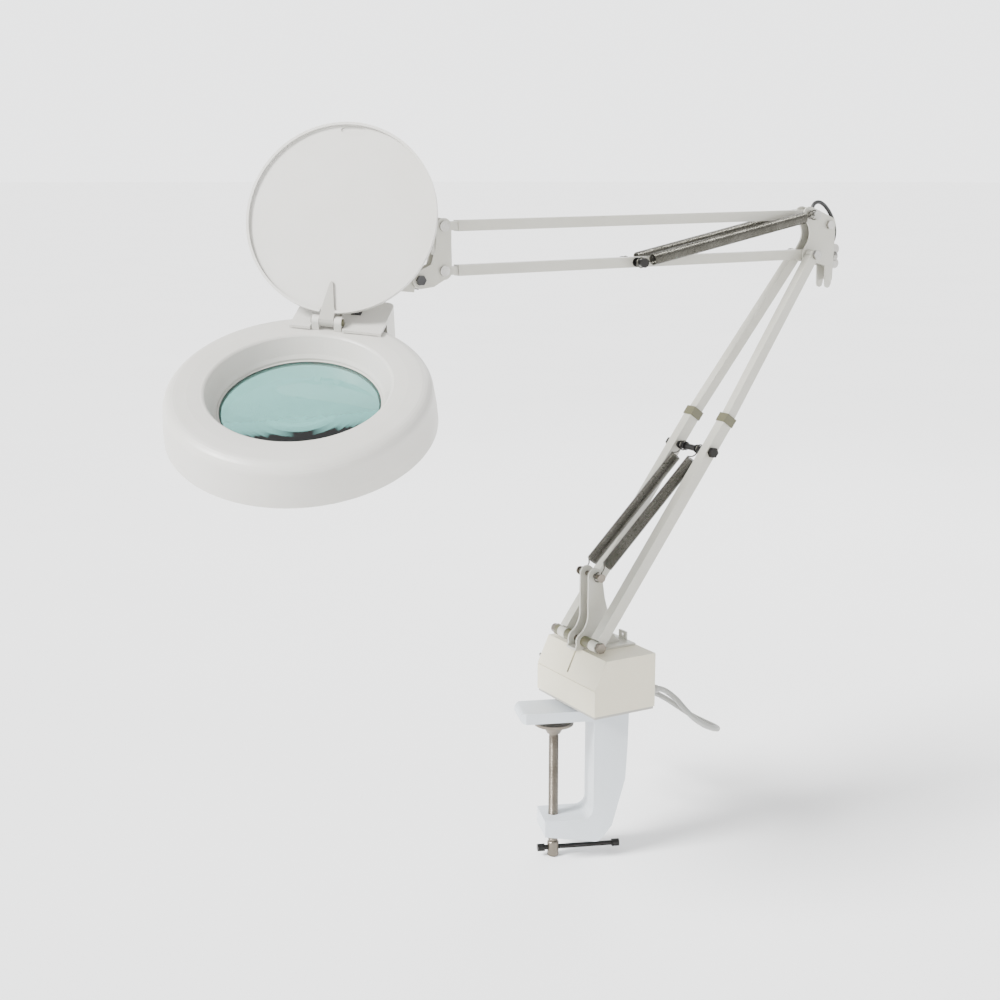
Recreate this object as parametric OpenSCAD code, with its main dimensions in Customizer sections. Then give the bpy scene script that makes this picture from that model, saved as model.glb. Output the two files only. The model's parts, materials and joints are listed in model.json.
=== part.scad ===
// Magnifying lamp with a table clamp, a sprung two-part arm and a ring-lit lens head.
// Millimetres. The origin is on the underside of the upper clamp jaw, on the screw's axis,
// +Z is up, and the arm moves in planes parallel to XZ with the head towards -X.

/* [Clamp] */
// Width of the cast jaws and of the leg
jaw_w = 40; // [34:1:44]
// Thickness of the upper jaw
jaw_t = 10.4; // [8:0.2:12]
// Distance between the jaws
clamp_gap = 99; // [96:1:104]
// From the clamp screw's axis to the swivel's axis
clamp_reach = 50; // [48:1:52]
// Turn of the clamp against the arm, about the swivel
clamp_yaw = 20; // [0:1:40]
// Radius of the screw's thread
screw_r = 4.95; // [4.9:0.01:4.95]
// Radius of the swivel post
post_r = 6.35; // [6.3:0.01:6.36]

/* [Base box] */
// Width across the arm
box_w = 102; // [98:1:110]
// Length along the arm
box_l = 67.5; // [65:0.5:72]
// Height of the cover with its plate
box_h = 54.6; // [52:0.2:56]
// Wall of the moulded cover
box_wall = 2.4; // [2:0.1:3]

/* [Lower arm] */
// From the base pin to the elbow pin
lower_len = 437; // [430:1:445]
// Angle above the horizontal
lower_angle = 54.2; // [52:0.1:56]
// Side of the thick lower tubes
thick_tube = 11; // [10:0.5:12]
// Side of the thin tubes
thin_tube = 9.4; // [9:0.1:10]
// Half the spacing of the two bars at the base
foot_half = 27; // [26:0.5:29]
// Half their spacing where the thin tubes start
bend_half = 26; // [25:0.5:28]
// Half their spacing at the elbow
elbow_half = 12.6; // [12.5:0.1:14]
// Share of the length at which the thin tubes start
bend_share = 0.57; // [0.54:0.01:0.6]
// From the base pin to the crossbar that the springs pull on
crossbar_at = 214; // [205:1:222]

/* [Upper arm] */
// From the elbow pin to the link pin
upper_len = 401; // [395:1:405]
// Droop of the head end below the horizontal
upper_droop = 0.5; // [0:0.1:2]
// Height between the two bars' pins
bar_gap = 38; // [37:0.5:40]
// From the elbow pin to the cross pin that the springs pull on
crosspin_at = 202; // [195:1:208]

/* [Head] */
// Turn of the head about its swivel
head_turn = 50; // [40:1:55]
// Forward tilt of the head against its swivel
head_tilt = 30; // [25:1:35]
// Opening of the lens cover, 0 is shut
cover_open = 134; // [120:1:136]
// Radius of the head's lower edge
head_r = 108; // [107:0.5:110]
// Height of the head's rim
head_h = 36; // [34:0.5:38]
// Radius of the lens
lens_r = 63.5; // [63:0.5:64]
// Radius of the lens cover
cover_r = 80; // [78:0.5:81]

/* [Cord] */
// Diameter of the mains cord
cord_d = 5.4; // [5.4:0.1:5.5]

/* [Hidden] */
$fn = 48;

ivory = [0.93, 0.92, 0.86];
white = [0.95, 0.95, 0.93];
cast_white = [0.9, 0.92, 0.94];
steel = [0.62, 0.61, 0.58];
dark = [0.13, 0.13, 0.13];
olive = [0.35, 0.34, 0.26];
copper = [0.72, 0.42, 0.24];
fit = 0.05; // radial clearance of a pin that turns in its hole

// Places on the swivel and the base
swivel = [clamp_reach * cos(clamp_yaw), -clamp_reach * sin(clamp_yaw)];
box_gap = 6;                 // washer between the upper jaw and the box
box_low = jaw_t + box_gap;   // underside of the box
box_front = -16;             // front of the box, from the base pin
pin_lift = 8;                // the base pin over the box
pin_z = box_low + box_h + pin_lift;
swivel_back = 29;            // the swivel behind the base pin
plate_t = 2.6;
box_top = -pin_lift;         // from here on, heights in the arm's own frame
box_bottom = box_top - box_h;
cover_bottom = box_bottom + plate_t;
step_z = box_bottom + 28;    // where the front starts to lean back
lean = 12.5;
box_back = box_front + box_l;

// Clamp
leg_in = 14.5;
leg_out = -19;
jaw_tip = 84;
low_tip = 62;
low_t = 16;
low_bottom = -clamp_gap - low_t;
heel_z = low_bottom - 8;
pad_top = -4.7;
pad_r = 19;
pad_low = pad_top - 11.5;
screw_low = -142.5;
head_top = -127;
tommy_z = -134;
tommy_r = 2.35;
tommy_cap = 7;
tommy_left = 15.5;
tommy_right = -66;

// Arm pins and bars
pin_r = 3;
elbow = [lower_len * cos(lower_angle), lower_len * sin(lower_angle)];
anchor = [11.2, 62];
crossbar_p = [crossbar_at * cos(lower_angle), crossbar_at * sin(lower_angle)];
spring_y = 13;
spring_r = 5.7;
cheek_y = 8;       // outer face of the base bracket's cheeks
cheek_t = 2;
elbow_cheek = 5.2; // inner face of the elbow bracket's cheeks
elbow_t = 1.6;
rear_bolt = [25, 28];
link_low = [elbow[0] - upper_len * cos(upper_droop), elbow[1] - upper_len * sin(upper_droop)];
tilt_bolt = [-23, -7];      // from the lower link pin
neck = [-243, 312];         // the head's tilt pin
neck_lean = 6;              // lean of the head's swivel towards the elbow
boss_low = 27;              // swivel boss, from the tilt pin along the swivel
boss_h = 14;
boss_r = 9;
head_mid = -111;            // lens axis, from the tilt pin
top_z = 10;                 // top face of the head, from the tilt pin
low_z = top_z - head_h;
hinge = [head_mid + 84, 17];
cover_mid = 86;             // from the cover's hinge to its centre
tube_mid = 86;
tube_r = 13.5;
tube_z = -9;

// Cord
cord_exit = [-24.9, 25];      // in the arm's own y, and over the tabletop

// ---------- frames ----------
module at_clamp() translate([swivel[0], swivel[1], 0]) rotate([0, 0, 180 - clamp_yaw]) children();
module at_arm() translate([swivel[0] - swivel_back, swivel[1], pin_z]) children();
module at_lower() at_arm() rotate([0, -lower_angle, 0]) children();
module at_elbow() at_arm() translate([elbow[0], 0, elbow[1]]) children();
module at_upper(h) at_elbow() translate([0, 0, h]) rotate([0, 180 - upper_droop, 0]) children();
module at_link() at_arm() translate([link_low[0], 0, link_low[1]]) children();
module at_neck() at_arm() translate([neck[0], 0, neck[1]]) rotate([0, neck_lean, 0]) children();
module at_head() at_neck() rotate([0, 0, head_turn]) rotate([0, -head_tilt, 0]) children();
module at_lens() at_head() translate([head_mid, 0, 0]) children();
module at_cover() at_head() translate([hinge[0], 0, hinge[1]]) rotate([0, cover_open, 0]) children();

// ---------- shared shapes ----------
// A cylinder along Y, centred on y
module rod_y(r, len, y = 0) translate([0, y, 0]) rotate([90, 0, 0]) cylinder(r = r, h = len, center = true);
// A plate of the XZ outline given by its children, from y0 to y0 + t
module plate_y(y0, t) translate([0, y0 + t, 0]) rotate([90, 0, 0]) linear_extrude(t) children();
module hex_y(across, len, y = 0)
    translate([0, y, 0]) rotate([90, 0, 0]) cylinder(d = across / cos(30), h = len, center = true, $fn = 6);
module ring_z(r_out, r_in, h) difference() {
    cylinder(r = r_out, h = h);
    translate([0, 0, -1]) cylinder(r = r_in, h = h + 2);
}
function arc(cx, cz, r, a0, a1, n = 8) =
    [for (i = [0 : n]) [cx + r * cos(a0 + (a1 - a0) * i / n), cz + r * sin(a0 + (a1 - a0) * i / n)]];
// A square tube along X from p to q in the XY plane, of side w
module bar(p, q, w, wall = 1) {
    len = norm(q - p);
    translate([p[0], p[1], 0]) rotate([0, 0, atan2(q[1] - p[1], q[0] - p[0])])
        translate([len / 2, 0, 0]) difference() {
            cube([len, w, w], center = true);
            cube([len + 1, w - 2 * wall, w - 2 * wall], center = true);
        }
}

// ---------- clamp ----------
module clamp_frame() color(cast_white) at_clamp() difference() {
    plate_y(-jaw_w / 2, jaw_w) polygon(concat(
        [[jaw_tip - 3, 0], [leg_in + 4, 0]],
        arc(leg_in + 4, -4, 4, 90, 180, 4),
        arc(leg_in + 10, -clamp_gap + 10, 10, 180, 270, 6),
        [[low_tip, -clamp_gap], [low_tip, low_bottom]],
        arc(leg_in - 2, heel_z + 9, 9, 290, 225, 5),
        [[-4, -107], [-12, -77], [-16.5, -60], [-18.2, -30], [leg_out, 0], [leg_out, jaw_t],
         [jaw_tip - 3, jaw_t]],
        arc(jaw_tip - 3, jaw_t / 2, jaw_t / 2, 90, -90, 8)));
    translate([0, 0, -40]) cylinder(r = post_r + fit, h = 60);
    translate([clamp_reach, 0, low_bottom - 10]) cylinder(r = screw_r + fit, h = low_t + 20);
    for (side = [-1, 1]) jaw_corner(side);
}
// Cuts the two corners off the upper jaw's tip
module jaw_corner(side) translate([jaw_tip + 4, side * (jaw_w / 2 + 4), -1]) rotate([0, 0, 45])
    cube([16, 16, 40], center = true);

module swivel_pad() color(steel) at_clamp() translate([clamp_reach, 0, 0]) difference() {
    union() {
        translate([0, 0, pad_top - 2.6]) cylinder(r = pad_r, h = 2.6);
        translate([0, 0, pad_top - 6]) cylinder(r1 = 9.5, r2 = 13, h = 3.4);
        translate([0, 0, pad_low]) cylinder(r1 = 6.6, r2 = 9.5, h = 5.5);
    }
    translate([0, 0, pad_low - 1]) cylinder(r = 3 + fit, h = 9);
}

module clamp_screw() color(steel) at_clamp() translate([clamp_reach, 0, 0]) difference() {
    union() {
        translate([0, 0, pad_low - 1]) cylinder(r = 3, h = 8.5);
        translate([0, 0, head_top]) cylinder(r = screw_r, h = pad_low - 0.4 - head_top);
        translate([0, 0, screw_low]) cylinder(r = 5.6, h = head_top - screw_low);
    }
    translate([0, 0, tommy_z]) rotate([0, 90, 0]) cylinder(r = tommy_r + fit, h = 30, center = true);
}

module tommy_bar() color(dark) at_clamp() translate([clamp_reach + tommy_right + 2, 0, tommy_z])
    rotate([0, 90, 0]) cylinder(r = tommy_r, h = tommy_left - tommy_right - 4);

module tommy_caps() color(dark) at_clamp() for (x = [tommy_right, tommy_left - tommy_cap])
    translate([clamp_reach + x, 0, tommy_z]) rotate([0, 90, 0]) difference() {
        cylinder(r = 3.7, h = tommy_cap);
        translate([0, 0, x < 0 ? 2 : -1]) cylinder(r = tommy_r, h = tommy_cap - 1);
    }

// ---------- base box ----------
module swivel_post() color(steel) at_arm() translate([swivel_back, 0, -pin_z]) {
    translate([0, 0, -36]) cylinder(r = post_r, h = 36 + pin_z + box_top + 4.2);
    translate([0, 0, jaw_t + 0.2]) ring_z(17, post_r, box_gap - 0.2);
}
module box_outline(inset) polygon([
    [box_front + inset, cover_bottom - (inset > 0 ? 1 : 0)], [box_front + inset, step_z],
    [box_front + lean + inset * 1.1, box_top - inset], [box_back - inset, box_top - inset],
    [box_back - inset, cover_bottom - (inset > 0 ? 1 : 0)]]);

module base_plate() color([0.72, 0.71, 0.66]) at_arm() difference() {
    translate([box_front + 1, -box_w / 2 + 1, box_bottom]) cube([box_l - 2, box_w - 2, plate_t]);
    translate([swivel_back, 0, box_bottom - 1]) cylinder(r = post_r, h = 5);
    for (p = screw_places) translate([p[0], p[1], box_bottom - 1]) {
        cylinder(r = 1.8, h = 5);
        cylinder(r = 3.5, h = 2.6);
    }
}
screw_places = [for (x = [box_front + 6, box_back - 6], y = [-box_w / 2 + 6, box_w / 2 - 6]) [x, y]];

module base_cover() color(ivory) at_arm() {
    difference() {
        plate_y(-box_w / 2, box_w) box_outline(0);
        plate_y(-box_w / 2 + box_wall, box_w - 2 * box_wall) box_outline(box_wall);
        translate([swivel_back, 0, box_top - 5]) cylinder(r = post_r, h = 8);
        // a slot down the middle of the leaning front
        translate([box_front + 1, -1.2, step_z + 2]) rotate([0, 24, 0]) cube([3, 2.4, 24]);
        translate([box_back - 4, cord_exit[0], cord_exit[1] - pin_z]) rotate([0, 90, 0])
            cylinder(r = 4.6, h = 8);
        // the line between the upright and the leaning front
        translate([box_front - 0.1, -box_w / 2 - 1, step_z - 0.7]) cube([0.9, box_w + 2, 1]);
        // the cable from the ballast to the arm leaves here
        translate([box_back - 9, 0, box_top - 5]) cylinder(r = 3.2, h = 8);
    }
    for (p = screw_places) translate([p[0], p[1], cover_bottom]) difference() {
        cylinder(r = 4, h = 14);
        translate([0, 0, -1]) cylinder(r = 1.5, h = 13);
    }
}
module base_screws() color(steel) at_arm() for (p = screw_places) translate([p[0], p[1], box_bottom]) {
    translate([0, 0, 0.2]) cylinder(r = 3.2, h = 1.4);
    translate([0, 0, 0.2]) cylinder(r = 1.5, h = 11);
}
core_w = 29;
module at_ballast() at_arm() translate([box_front + 8, -40.4, cover_bottom + 0.5]) children();
module ballast_core() color([0.3, 0.3, 0.32]) at_ballast() difference() {
    cube([50, core_w, 32]);
    for (x = [9, 31]) translate([x, -1, 8]) cube([10, core_w + 2, 16]);
}
module ballast_winding() color(copper) at_ballast() difference() {
    translate([9.4, -1.5, 8.4]) cube([31.2, core_w + 3, 15.2]);
    translate([19, -0.4, 7]) cube([12, core_w + 0.8, 18]);
}
module terminal_block() color([0.9, 0.9, 0.85]) at_arm()
    translate([box_front + 14, 16, cover_bottom + 0.3]) difference() {
        cube([36, 18, 15]);
        for (i = [0 : 3]) translate([5 + i * 8.6, 9, 3]) cylinder(r = 2.4, h = 20);
    }
module strain_relief() color([0.8, 0.8, 0.78]) at_arm()
    translate([box_back, cord_exit[0], cord_exit[1] - pin_z]) rotate([0, 90, 0]) difference() {
        union() {
            translate([0, 0, -box_wall - 1.6]) cylinder(r = 6, h = 1.6);
            translate([0, 0, -box_wall]) cylinder(r = 4.6, h = box_wall);
            cylinder(r = 6, h = 2.2);
            translate([0, 0, 2]) cylinder(r1 = 4.9, r2 = cord_d / 2 + 1, h = 19.8);
        }
        translate([0, 0, -6]) cylinder(r = cord_d / 2 + 0.4, h = 30);
    }

// ---------- base bracket ----------
module bracket_outline() polygon(concat(
    [[-10, box_top + 2]],
    arc(0, 0, 9, 200, 120, 5),
    arc(-22, 26, 26, -38, 8, 7),
    arc(anchor[0], anchor[1], 7.5, 165, 0, 8),
    [[22, 40], [28, 18]],
    arc(44, 12, 15, 165, 215, 4),
    [[40, box_top + 2]]));
module arm_bracket() color(white) at_arm() difference() {
    union() {
        for (side = [-1, 1])
            plate_y(side > 0 ? cheek_y - cheek_t : -cheek_y, cheek_t) bracket_outline();
        translate([-10, -cheek_y, box_top]) cube([50, 2 * cheek_y, 2]);
        translate([8, -20, box_top]) cube([42, 40, 2]);
        // tab that the arm's cable is tied to
        translate([48, -6, box_top]) cube([2, 12, 9.5]);
        // rear web between the cheeks
        translate([19.4, -cheek_y, 12]) rotate([0, -11, 0]) cube([2, 2 * cheek_y, 42]);
    }
    rod_y(pin_r, 60);
    translate([anchor[0], 0, anchor[1]]) rod_y(2.5, 60);
    translate([swivel_back, 0, box_top - 2]) cylinder(r = post_r, h = 8);
    translate([40, 0, box_top + 6]) rotate([0, 90, 0]) cylinder(r = 2, h = 20);
}
bar_outer = foot_half + thick_tube / 2; // outer faces of the bars at the base pin
module base_pin() color(steel) at_arm() {
    rod_y(pin_r, 82, 4);
    hex_y(9, 4, -bar_outer - 2.6);
    hex_y(9, 4, bar_outer + 8.2);
    rod_y(4.4, 3, 43.8);
}
module base_spacers() color(olive) at_arm() difference() {
    gap = bar_outer - thick_tube - cheek_y - 0.6;
    union() {
        for (side = [-1, 1]) rod_y(5.2, gap, side * (cheek_y + gap / 2));
        rod_y(5.2, 5.2, bar_outer + 3.2);
    }
    rod_y(pin_r, 90);
}
module spring_anchor() color(steel) at_arm() translate([anchor[0], 0, anchor[1]]) {
    rod_y(2.5, 38);
    for (side = [-1, 1]) rod_y(4, 1.6, side * 18.4);
}

// ---------- springs ----------
// A spring's outer shape between two pins a and b in the arm's plane
module spring_body(a, b, y, hook = 4.4) {
    len = norm(b - a);
    translate([a[0], y, a[1]]) rotate([0, -atan2(b[1] - a[1], b[0] - a[0]), 0]) {
        translate([13, 0, 0]) rotate([0, 90, 0]) cylinder(r = spring_r, h = len - 26);
        for (x = [0, len]) translate([x, 0, 0]) rotate([90, 0, 0]) translate([0, 0, -0.9])
            ring_z(hook + 1, hook - 0.8, 1.8);
        for (x = [4.3, len - 14]) translate([x, -0.9, -0.9]) cube([9.7, 1.8, 1.8]);
    }
}
module lower_spring_far() color(steel) at_arm() spring_body(anchor, crossbar_p, spring_y);
module lower_spring_near() color(steel) at_arm() spring_body(anchor, crossbar_p, -spring_y);
cross_p = [crosspin_at * cos(180 + upper_droop), crosspin_at * sin(180 + upper_droop)];
module upper_spring_far() color(steel) at_elbow() spring_body(cross_p, [0, bar_gap], spring_y);
module upper_spring_near() color(steel) at_elbow() spring_body(cross_p, [0, bar_gap], -spring_y);

// ---------- cord ----------
route = [[69.5, -42, 25], [80, -42, 25], [91.5, -42, 25], [99, -46, 22], [104, -55.5, 16],
    [106, -66, 9.5], [108.5, -76.5, 3.5], [115, -84.5, -2.5], [125.5, -86.5, -7.5],
    [135.5, -80, -11.5], [140, -68, -13.5], [139.5, -54, -13.5], [136.5, -38, -11.5],
    [133, -22, -7.5], [129, -6, -3], [124, 8, 0.5], [118, 22, 2.4], [112.5, 36, 2.7],
    [109.4, 48, 2.7]];
coil_mid = [74, 69];
coil_r = 30;
coil_in = coil_r - 1.5 * cord_d;
coil_out = coil_r + 1.5 * cord_d;
coil_h = 3 * cord_d;
outer_turn = coil_r + cord_d; // radius of the outer turns
plug_turn = 15;               // where the last turn leaves for the plug
plug_far = 32;                // from there to the plug's nose
plug_z = 6.6;                 // height of the plug's middle
module at_lead() translate([coil_mid[0], coil_mid[1], 0]) rotate([0, 0, plug_turn])
    translate([outer_turn, 0, 0]) rotate([0, 0, 90]) children();

// Sweeps a ring of n points along the route's own points
function unit(v) = v / norm(v);
function heading(p, i) = unit(p[min(i + 1, len(p) - 1)] - p[max(i - 1, 0)]);
function ring_at(p, i, r, n, up) = let (t = heading(p, i), s = unit(cross(t, up)), u = cross(s, t))
    [for (k = [0 : n - 1]) p[i] + r * (cos(360 * k / n) * s + sin(360 * k / n) * u)];
module sweep(p, r, n, up = [0, 0, 1]) {
    rings = [for (i = [0 : len(p) - 1]) each ring_at(p, i, r, n, up)];
    last = (len(p) - 1) * n;
    sides = [for (i = [0 : len(p) - 2], k = [0 : n - 1])
        let (a = i * n + k, b = i * n + (k + 1) % n) each [[a, a + n, b], [b, a + n, b + n]]];
    polyhedron(rings, concat([[for (k = [0 : n - 1]) k]], sides,
        [[for (k = [n - 1 : -1 : 0]) last + k]]), convexity = 8);
}
// Points of a smooth curve through p, m to a span
function smooth(p, m) = [for (i = [0 : len(p) - 2], j = [0 : m - 1]) between(p, i, j / m)];
function between(p, i, t) = let (n = len(p) - 1, a = p[max(i - 1, 0)], b = p[i], c = p[i + 1],
    d = p[min(i + 2, n)]) 0.5 * ((2 * b) + (c - a) * t + (2 * a - 5 * b + 4 * c - d) * t * t
    + (3 * b - a - 3 * c + d) * t * t * t);
module mains_cord() color([0.82, 0.82, 0.8])
    sweep(concat(smooth(route, 2), [route[len(route) - 1]]), cord_d / 2, 10);
lead_d = cord_d - 0.4; // so that its side isn't tangent to the ring's
lead_drop = coil_h - cord_d / 2 - plug_z; // the last turn is the top one
module cord_coil() color([0.8, 0.8, 0.78]) union() {
    translate([coil_mid[0], coil_mid[1], 0]) ring_z(coil_out, coil_in, coil_h);
    // where the free stretch runs into the first turn
    translate([coil_mid[0] + outer_turn, route[len(route) - 1][1] + 1, cord_d / 2]) rotate([-90, 0, 0])
        cylinder(d = lead_d, h = 16);
    at_lead() translate([0, 0, coil_h - cord_d / 2]) rotate([0, 90 + atan2(lead_drop, plug_far), 0])
        translate([0, 0, 6]) cylinder(d = lead_d, h = norm([lead_drop, plug_far]) - 6);
}
module cord_tie() color(dark) translate([coil_mid[0], coil_mid[1] + coil_r, 0]) difference() {
    translate([-2.5, -10.2, 0.05]) cube([5, 20.4, coil_h + 1.2]);
    translate([-5, -9.2, -1]) cube([10, 18.4, coil_h + 1.01]);
}
module plug_body() color([0.85, 0.85, 0.83]) at_lead() translate([plug_far + 0.3, 0, plug_z]) {
    rotate([0, 90, 0]) cylinder(r1 = 3.6, r2 = 6.2, h = 14);
    translate([14, -9, -6.5]) cube([22, 18, 13]);
}
module plug_pins() color(steel) at_lead() for (side = [-1, 1])
    translate([plug_far + 36.3, side * 5, plug_z]) rotate([0, 90, 0]) cylinder(r = 2, h = 18);

// ---------- lower arm ----------
bend_s = bend_share * lower_len;
function half_at(s) = s < bend_s ? foot_half + (bend_half - foot_half) * s / bend_s
    : bend_half + (elbow_half - bend_half) * (s - bend_s) / (lower_len - bend_s);
module lower_bar(side) at_lower() difference() {
    union() {
        bar([5, side * half_at(5)], [bend_s, side * bend_half], thick_tube);
        rod_y(thick_tube / 2, thick_tube, side * foot_half);
    }
    rod_y(pin_r + fit, 80);
    translate([crossbar_at, 0, 0]) rod_y(pin_r + fit, 80);
}
module lower_bar_far() color(white) lower_bar(1);
module lower_bar_near() color(white) lower_bar(-1);
module upper_rod(side) at_lower() difference() {
    union() {
        bar([bend_s - 24, side * half_at(bend_s - 24)], [bend_s, side * bend_half], thin_tube - 0.6);
        bar([bend_s, side * bend_half], [lower_len - 4, side * half_at(lower_len - 4)], thin_tube);
        translate([lower_len, 0, 0]) rod_y(thin_tube / 2, thin_tube, side * elbow_half);
    }
    translate([lower_len, 0, 0]) rod_y(pin_r + fit, 80);
}
module upper_rod_far() color(white) upper_rod(1);
module upper_rod_near() color(white) upper_rod(-1);
module bar_collars() color(olive) at_lower() for (side = [-1, 1])
    translate([bend_s, side * bend_half, 0]) difference() {
        cube([9, thick_tube + 1.6, thick_tube + 1.6], center = true);
        cube([10, thick_tube + 0.2, thick_tube + 0.2], center = true);
    }
module crossbar() color(dark) at_lower() translate([crossbar_at, 0, 0]) {
    rod_y(pin_r, 70);
    for (side = [-1, 1]) {
        hex_y(9, 4, side * (half_at(crossbar_at) + thick_tube / 2 + 2.4));
        for (y = [spring_y - 4, spring_y + 4]) rod_y(4.2, 1.2, side * y);
    }
}

// ---------- elbow ----------
module elbow_outline() polygon(concat(
    arc(0, 0, 7.5, 250, 140, 5),
    arc(-15, 20, 16, -32, 32, 6),
    arc(0, bar_gap, 8, 190, 60, 6),
    arc(rear_bolt[0], rear_bolt[1], 8, 55, -20, 5),
    [[32, 2], [30, -30]],
    arc(26, -30, 3.5, 0, -180, 4),
    [[22, -12], [10, -8]]));
module elbow_bracket() color(white) at_elbow() difference() {
    union() {
        for (side = [-1, 1])
            plate_y(side > 0 ? elbow_cheek : -elbow_cheek - elbow_t, elbow_t) elbow_outline();
        // the web that joins the cheeks along the outer edge
        translate([30.6, -elbow_cheek - 0.2, -26]) rotate([0, 2, 0])
            cube([1.8, 2 * elbow_cheek + 0.4, 48]);
        translate([3.4, -elbow_cheek - 0.2, bar_gap + 5.8]) rotate([0, 27, 0])
            cube([20, 2 * elbow_cheek + 0.4, 1.6]);
    }
    rod_y(pin_r, 80);
    translate([0, 0, bar_gap]) rod_y(pin_r, 80);
    translate([rear_bolt[0], 0, rear_bolt[1]]) rod_y(2.5, 80);
    translate([20, 0, -3]) rotate([0, 90, 0]) cylinder(r = 3 + fit, h = 30);
    // the cable goes back in here
    translate([27, 0, 9]) rotate([0, 90, 0]) cylinder(r = 3, h = 12);
}
module elbow_pins() color(steel) at_elbow() {
    rod_y(pin_r, 39.4);
    hex_y(8.6, 3, -19.7);
    rod_y(5, 2.4, 19.5);
    translate([0, 0, bar_gap]) {
        rod_y(pin_r, 38);
        for (side = [-1, 1]) {
            rod_y(4.6, 1.6, side * 18.4);
            rod_y(4.2, 1.4, side * 8);
        }
    }
    translate([rear_bolt[0], 0, rear_bolt[1]]) {
        rod_y(2.5, 18);
        hex_y(8, 3, -8.5);
        hex_y(8, 3, 8.5);
    }
}
cable_route = [[8.1, 0, 43.7], [9.3, 0, 46.6], [12.2, 0, 49.2], [17, 0, 49.8], [22.5, 0, 47.4],
    [28, 0, 42.6], [33, 0, 36], [36.5, 0, 28.5], [38, 0, 20], [36.5, 0, 12.5], [32, 0, 9], [26, 0, 8.5], [18, 0, 8]];
module elbow_cable() color(dark) at_elbow() sweep(cable_route, 1.9, 10, [0, 1, 0]);
module elbow_knob() color([0.75, 0.75, 0.73]) at_elbow() translate([33.2, 0, -3]) rotate([0, 90, 0]) {
    translate([0, 0, -9]) cylinder(r = 3, h = 12);
    translate([0, 0, 1.2]) cylinder(r = 4.6, h = 5);
    for (side = [-1, 1]) translate([side * 7, 0, 5.4]) rod_y(5, 2.6);
}

// ---------- upper arm ----------
tube_end = 14.5; // the tubes stop this far from the link's pins
// A bar of the upper arm along local +X, which points to the head, bored at both ends
module arm_bar() difference() {
    union() {
        bar([6, 0], [upper_len - tube_end, 0], thin_tube);
        difference() {
            rod_y(thin_tube / 2, thin_tube);
            translate([6, -10, -10]) cube(20);
        }
        translate([2, -thin_tube / 2, -thin_tube / 2]) cube([6, thin_tube, thin_tube]);
    }
    rod_y(pin_r + fit, 20);
}
// The plastic end that plugs into a bar's tube, with a half height and a half width
module arm_bar_end(half_w, half_h, hole) difference() {
    union() {
        translate([upper_len, 0, 0]) rod_y(4.6, 7);
        translate([upper_len - 19, -half_w, -half_h]) cube([19, 2 * half_w, 2 * half_h]);
    }
    translate([upper_len, 0, 0]) rod_y(hole, 20);
}
module top_bar() color(white) at_upper(bar_gap) {
    arm_bar();
    arm_bar_end(3.8, 3.8, pin_r + 0.4);
}
module bottom_bar() color(white) at_upper(0) difference() {
    arm_bar();
    translate([crosspin_at, 0, 0]) rod_y(pin_r + fit, 30);
}
module bar_ends() color([0.8, 0.8, 0.78]) at_upper(0) arm_bar_end(3.5, 3.6, pin_r + fit);
module cross_pin() color(dark) at_upper(0) translate([crosspin_at, 0, 0]) {
    rod_y(pin_r, 38);
    for (side = [-1, 1]) {
        rod_y(4.4, 1.6, side * 18.4);
        rod_y(4.2, 1.4, side * 6);
    }
}

// ---------- link and head arm ----------
module link_outline() polygon(concat(
    arc(0, bar_gap, 7, 0, 180, 8),
    [[-8, 20]],
    [[-12, 6]],
    arc(tilt_bolt[0], tilt_bolt[1], 7.5, 120, 270, 6),
    [[-10, -13]],
    arc(0, 0, 7.5, 270, 360, 5),
    [[7, 20]]));
module link_bracket() color(white) at_link() difference() {
    union() {
        for (side = [-1, 1]) plate_y(side > 0 ? 3.9 : -5.5, 1.6) link_outline();
        translate([-8.6, -4, 14]) cube([1.6, 8, 14]);
    }
    rod_y(pin_r, 30);
    translate([0, 0, bar_gap]) rod_y(pin_r, 30);
    translate([tilt_bolt[0], 0, tilt_bolt[1]]) rod_y(pin_r, 30);
}
module link_pins() color(steel) at_link() for (p = [[0, 0], [0, bar_gap]])
    translate([p[0], 0, p[1]]) {
        rod_y(pin_r, 15);
        for (side = [-1, 1]) rod_y(4.6, 1.8, side * 6.5);
    }
// The tilt bolt's place seen from the head's swivel
bolt_from_neck = [link_low[0] + tilt_bolt[0] - neck[0], link_low[1] + tilt_bolt[1] - neck[1]];
bolt_x = bolt_from_neck[0] * cos(neck_lean) - bolt_from_neck[1] * sin(neck_lean);
bolt_z = bolt_from_neck[0] * sin(neck_lean) + bolt_from_neck[1] * cos(neck_lean);
module head_arm() color(white) at_neck() difference() {
    union() {
        translate([0, 0, boss_low]) cylinder(r = boss_r, h = boss_h);
        translate([bolt_x, 0, bolt_z]) rod_y(6.5, 7.2);
        translate([6, -3.6, boss_low + 2]) cube([bolt_x - 10, 7.2, 10]);
        translate([bolt_x - 12, -3.6, bolt_z - 5.5]) cube([12, 7.2, 10]);
    }
    translate([0, 0, boss_low - 1]) cylinder(r = 4 + fit, h = boss_h + 2);
    translate([bolt_x, 0, bolt_z]) rod_y(pin_r + fit, 20);
}
module tilt_knob() color(dark) at_link() translate([tilt_bolt[0], 0, tilt_bolt[1]]) {
    rod_y(pin_r - 0.05, 17, 1.6);
    hex_y(8, 2.4, -7);
    rod_y(8, 7, 11);
    for (a = [0 : 60 : 300]) rotate([0, a, 0]) translate([8, 0, 0]) rod_y(2, 7, 11);
}
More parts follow.
